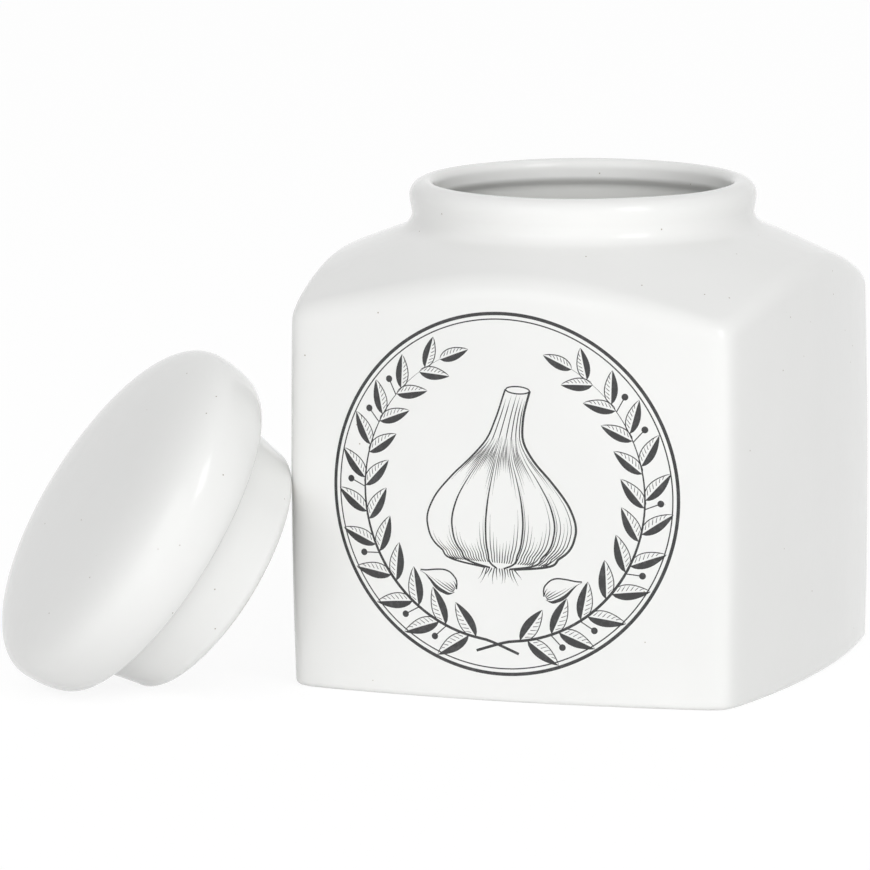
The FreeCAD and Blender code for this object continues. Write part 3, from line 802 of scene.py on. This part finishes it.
GLAZE = (0.904, 0.906, 0.894)
GLAZE_SHADE = (0.888, 0.891, 0.878)
# painted shade: the grey that stands in for the shadow deep inside the jar and in the lid's recess
PAINTED_INNER_SHADE = (0.80, 0.803, 0.785)
BARE = (0.80, 0.775, 0.72)
CLOUD_SCALE = 22                # size of the tone's faint clouds, per metre
GLAZE_ROUGHNESS = (0.07, 0.13)
SHEEN_SCALE = 160
DRY_ROUGHNESS = 0.7
GLAZE_IOR = 1.52
PEEL_SCALE = 420                # faint orange peel of the glaze
PEEL_STRENGTH = 0.25
PEEL_DEPTH = 0.00004            # metres
SPECK = (0.42, 0.38, 0.32)      # tiny iron specks in the body
SPECK_CELLS = 380               # per metre
SPECK_SIZE = 0.09               # as a share of a cell
SPECK_SHARE = 0.20
INK = (0.040, 0.040, 0.041)
INK_THIN = (0.075, 0.075, 0.077)
INK_SCALE = 900
INK_ROUGHNESS = 0.22


class Nodes:
    """A node tree whose nodes are added and linked in one line each."""

    def __init__(self, tree):
        self.tree = tree

    def node(self, kind, settings=None, **inputs):
        """A node; an input, by name or i0, i1..., takes a number, a colour or another's output."""
        made = self.tree.nodes.new(kind)
        for key, value in (settings or {}).items():
            setattr(made, key, value)
        for key, value in inputs.items():
            socket = made.inputs[int(key[1:]) if key[1:].isdigit() else key.replace("_", " ")]
            if isinstance(value, bpy.types.NodeSocket):
                self.tree.links.new(value, socket)
            else:
                socket.default_value = value
        return made


class Shader(Nodes):
    """A material round one principled surface."""

    def __init__(self, name):
        self.material = bpy.data.materials.new(name)
        self.material.use_nodes = True
        super().__init__(self.material.node_tree)
        self.surface = self.tree.nodes["Principled BSDF"]
        self.place = self.node("ShaderNodeTexCoord").outputs["Object"]

    def noise(self, scale, detail=2.0, roughness=0.5):
        made = self.node("ShaderNodeTexNoise", Vector=self.place, Scale=scale, Detail=detail,
                         Roughness=roughness)
        return made.outputs["Fac"]

    def spread(self, value, low, high, to_low, to_high):
        """Maps a value's range to another."""
        made = self.node("ShaderNodeMapRange", {"interpolation_type": "SMOOTHSTEP"}, Value=value,
                         From_Min=low, From_Max=high, To_Min=to_low, To_Max=to_high)
        return made.outputs["Result"]

    def mark(self, name):
        """A value that the mesh's points carry."""
        return self.node("ShaderNodeAttribute", {"attribute_name": name}).outputs["Fac"]

    def mix(self, share, low, high):
        made = self.node("ShaderNodeMix", {"data_type": "RGBA"}, i0=share, i6=low, i7=high)
        return made.outputs[2]

    def link(self, value, name):
        self.tree.links.new(value, self.surface.inputs[name])


def make_porcelain():
    """Clear glossy glaze over a white body, with painted shade that greys it deep inside, and bare
    where it was fired on.
    """
    shader = Shader("porcelain_glaze")
    clouds = shader.spread(shader.noise(CLOUD_SCALE, 3), 0.35, 0.65, 0, 1)
    tone = shader.mix(clouds, (*GLAZE, 1), (*GLAZE_SHADE, 1))
    # painted shade: greyer where the mesh marks the shadowed inside
    tone = shader.mix(shader.mark("inside"), tone, (*PAINTED_INNER_SHADE, 1))
    tone = shader.mix(shader.mark("bare"), tone, (*BARE, 1))
    cells = shader.node("ShaderNodeTexVoronoi", Vector=shader.place, Scale=SPECK_CELLS)
    near = shader.spread(cells.outputs["Distance"], SPECK_SIZE / 2, SPECK_SIZE, 1, 0)
    few = shader.node("ShaderNodeMath", {"operation": "LESS_THAN"}, i0=cells.outputs["Color"],
                      i1=SPECK_SHARE)
    speck = shader.node("ShaderNodeMath", {"operation": "MULTIPLY"}, i0=near, i1=few.outputs[0])
    tone = shader.mix(speck.outputs[0], tone, (*SPECK, 1))
    shader.link(tone, "Base Color")
    sheen = shader.spread(shader.noise(SHEEN_SCALE, 3), 0.3, 0.7, *GLAZE_ROUGHNESS)
    rough = shader.node("ShaderNodeMath", {"operation": "MAXIMUM"}, i0=sheen,
                        i1=shader.spread(shader.mark("bare"), 0, 1, 0, DRY_ROUGHNESS))
    shader.link(rough.outputs[0], "Roughness")
    peel = shader.node("ShaderNodeBump", Strength=PEEL_STRENGTH, Distance=PEEL_DEPTH,
                       Height=shader.noise(PEEL_SCALE, 1))
    shader.link(peel.outputs["Normal"], "Normal")
    shader.surface.inputs["IOR"].default_value = GLAZE_IOR
    return shader.material


def make_ink():
    """Fired black print, a little thinner here and there."""
    shader = Shader("fired_ink")
    thin = shader.spread(shader.noise(INK_SCALE, 4), 0.45, 0.8, 0, 1)
    tone = shader.mix(thin, (*INK, 1), (*INK_THIN, 1))
    shader.link(tone, "Base Color")
    shader.surface.inputs["Roughness"].default_value = INK_ROUGHNESS
    return shader.material


# ---------------------------------------------------------------- studio

WHITE = (1, 1, 1, 1)
FLOOR_SIZE = 12.0               # metres
FLOOR_TONE = 0.95
FLOOR_SHOWN = 0.83              # share of the floor's shown white that no shadow reaches
FLOOR_WHITE = 1.07
# broad soft lights of the room: azimuth from the camera's side and elevation in degrees,
# sharpness, strength
ROOM_LIGHTS = ((0, 0, 6.0, 3.88), (0, 90, 3.0, 0.32), (90, 10, 3.0, 0.15), (-90, 10, 3.0, 0.08),
               (180, 15, 3.0, 1.05))
SOFTBOX_DISTANCE = 1.5
# azimuth and elevation in degrees, width and height in metres, power in watts
SOFTBOXES = {"left_softbox": (-39, 36, 0.75, 0.7, 1.0), "right_softbox": (38, 39, 0.5, 0.8, 3.1)}


def seen_directly(shader):
    """1 for rays from the camera and those that a reflection or clear matter passes on."""
    path = shader.node("ShaderNodeLightPath")
    seen = shader.node("ShaderNodeMath", {"operation": "MAXIMUM"}, i0=path.outputs["Is Camera Ray"],
                       i1=path.outputs["Is Glossy Ray"])
    seen = shader.node("ShaderNodeMath", {"operation": "MAXIMUM"}, i0=seen.outputs[0],
                       i1=path.outputs["Is Transmission Ray"])
    return seen.outputs[0]


def from_camera(azimuth, elevation):
    """Direction at an azimuth counted from the camera's side, to the right seen from there."""
    heading, height = math.radians(azimuth + CAMERA_AZIMUTH - 90), math.radians(elevation)
    return Vector((math.cos(heading) * math.cos(height), math.sin(heading) * math.cos(height),
                   math.sin(height)))


def make_floor():
    """A plain white floor that keeps the soft shadow."""
    mesh = bpy.data.meshes.new("floor")
    half = FLOOR_SIZE / 2
    mesh.from_pydata([(-half, -half, 0), (half, -half, 0), (half, half, 0), (-half, half, 0)], [],
                     [(0, 1, 2, 3)])
    floor = bpy.data.objects.new("floor", mesh)
    bpy.context.scene.collection.objects.link(floor)
    shader = Shader("floor_white")
    shader.surface.inputs["Base Color"].default_value = (FLOOR_TONE, FLOOR_TONE, FLOOR_TONE, 1)
    shader.surface.inputs["Roughness"].default_value = 1.0
    shader.surface.inputs["Specular IOR Level"].default_value = 0.0
    white = shader.node("ShaderNodeEmission", Color=WHITE, Strength=FLOOR_WHITE)
    share = shader.node("ShaderNodeMath", {"operation": "MULTIPLY"}, i0=seen_directly(shader),
                        i1=FLOOR_SHOWN)
    blend = shader.node("ShaderNodeMixShader", i0=share.outputs[0], i1=shader.surface.outputs[0],
                        i2=white.outputs[0])
    shader.tree.links.new(blend.outputs[0], shader.tree.nodes["Material Output"].inputs["Surface"])
    mesh.materials.append(shader.material)


def make_world():
    """A pale room lit from the camera's side, plain white where it is seen directly."""
    world = bpy.data.worlds.new("studio")
    world.use_nodes = True
    world.node_tree.nodes.clear()
    shader = Nodes(world.node_tree)
    way = shader.node("ShaderNodeTexCoord").outputs["Generated"]
    total = 0.0
    for azimuth, elevation, sharpness, strength in ROOM_LIGHTS:
        near = shader.node("ShaderNodeVectorMath", {"operation": "DOT_PRODUCT"}, i0=way,
                           i1=from_camera(azimuth, elevation)).outputs["Value"]
        past = shader.node("ShaderNodeMath", {"operation": "MULTIPLY_ADD"}, i0=near, i1=sharpness,
                           i2=-sharpness)
        glow = shader.node("ShaderNodeMath", {"operation": "EXPONENT"}, i0=past.outputs[0])
        total = shader.node("ShaderNodeMath", {"operation": "MULTIPLY_ADD"}, i0=glow.outputs[0],
                            i1=strength, i2=total).outputs[0]
    room = shader.node("ShaderNodeBackground", Color=WHITE, Strength=total)
    white = shader.node("ShaderNodeBackground", Color=WHITE, Strength=1.0)
    choose = shader.node("ShaderNodeMixShader", i0=seen_directly(shader), i1=room.outputs[0],
                         i2=white.outputs[0])
    shader.node("ShaderNodeOutputWorld", Surface=choose.outputs[0])
    bpy.context.scene.world = world


def add_softbox(name, azimuth, elevation, width, height, power):
    """A rectangular softbox that points at the object."""
    data = bpy.data.lights.new(name, "AREA")
    data.shape = "RECTANGLE"
    data.size, data.size_y = width, height
    data.energy = power
    lamp = bpy.data.objects.new(name, data)
    bpy.context.scene.collection.objects.link(lamp)
    away = from_camera(azimuth, elevation)
    lamp.location = Vector(CAMERA_TARGET) * MM + away * SOFTBOX_DISTANCE
    lamp.rotation_mode = "QUATERNION"
    lamp.rotation_quaternion = away.to_track_quat("Z", "Y")


bpy.context.scene.view_settings.view_transform = "Standard"
make_floor()
make_world()
for name, settings in SOFTBOXES.items():
    add_softbox(name, *settings)

# ---------------------------------------------------------------- pieces

porcelain = make_porcelain()
ink = make_ink()
jar = make_jar(porcelain)
lid = make_lid(porcelain)
for piece, body, glaze in ((jar, "jar", "jar_glaze"), (lid, "lid", "lid_glaze")):
    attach(piece, body)
    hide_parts(body)
for piece in make_prints(ink):
    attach(piece, "jar")
